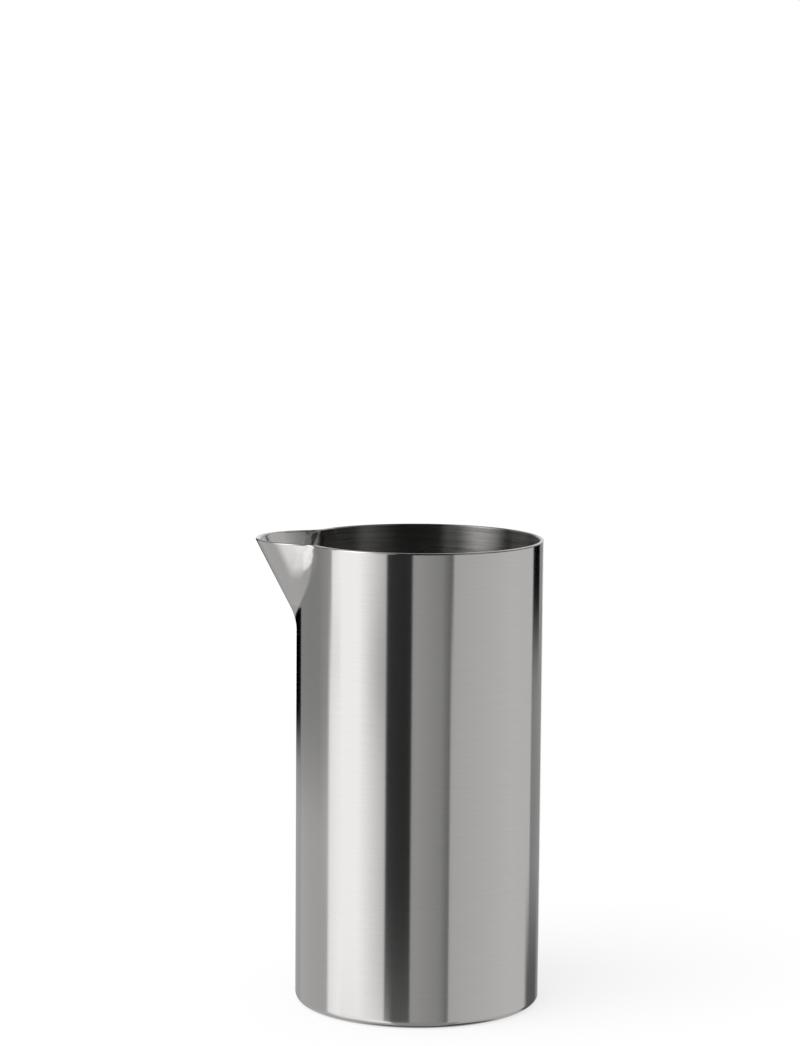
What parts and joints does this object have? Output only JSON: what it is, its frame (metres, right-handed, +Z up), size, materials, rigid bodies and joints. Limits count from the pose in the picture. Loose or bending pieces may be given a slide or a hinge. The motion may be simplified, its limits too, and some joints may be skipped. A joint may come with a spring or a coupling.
{
  "type": "cream jug",
  "caption": "Straight round stainless steel cream jug, open at the top, with a rounded pouring lip that leans out of its rim and a flat base; no handle or lid.",
  "frame": {"origin": "on the tube's axis, in the plane of the ring that the jug stands on", "axes": "+Z up along the tube's axis, the pouring lip towards -X"},
  "size_m": [0.0583, 0.05, 0.095],
  "materials": {
    "satin_steel": "satin polished, with a fine grain that runs round the jug"
  },
  "bodies": {
    "root": {"body_tube": "satin_steel", "spout": "satin_steel", "base": "satin_steel"}
  },
  "joints": []
}
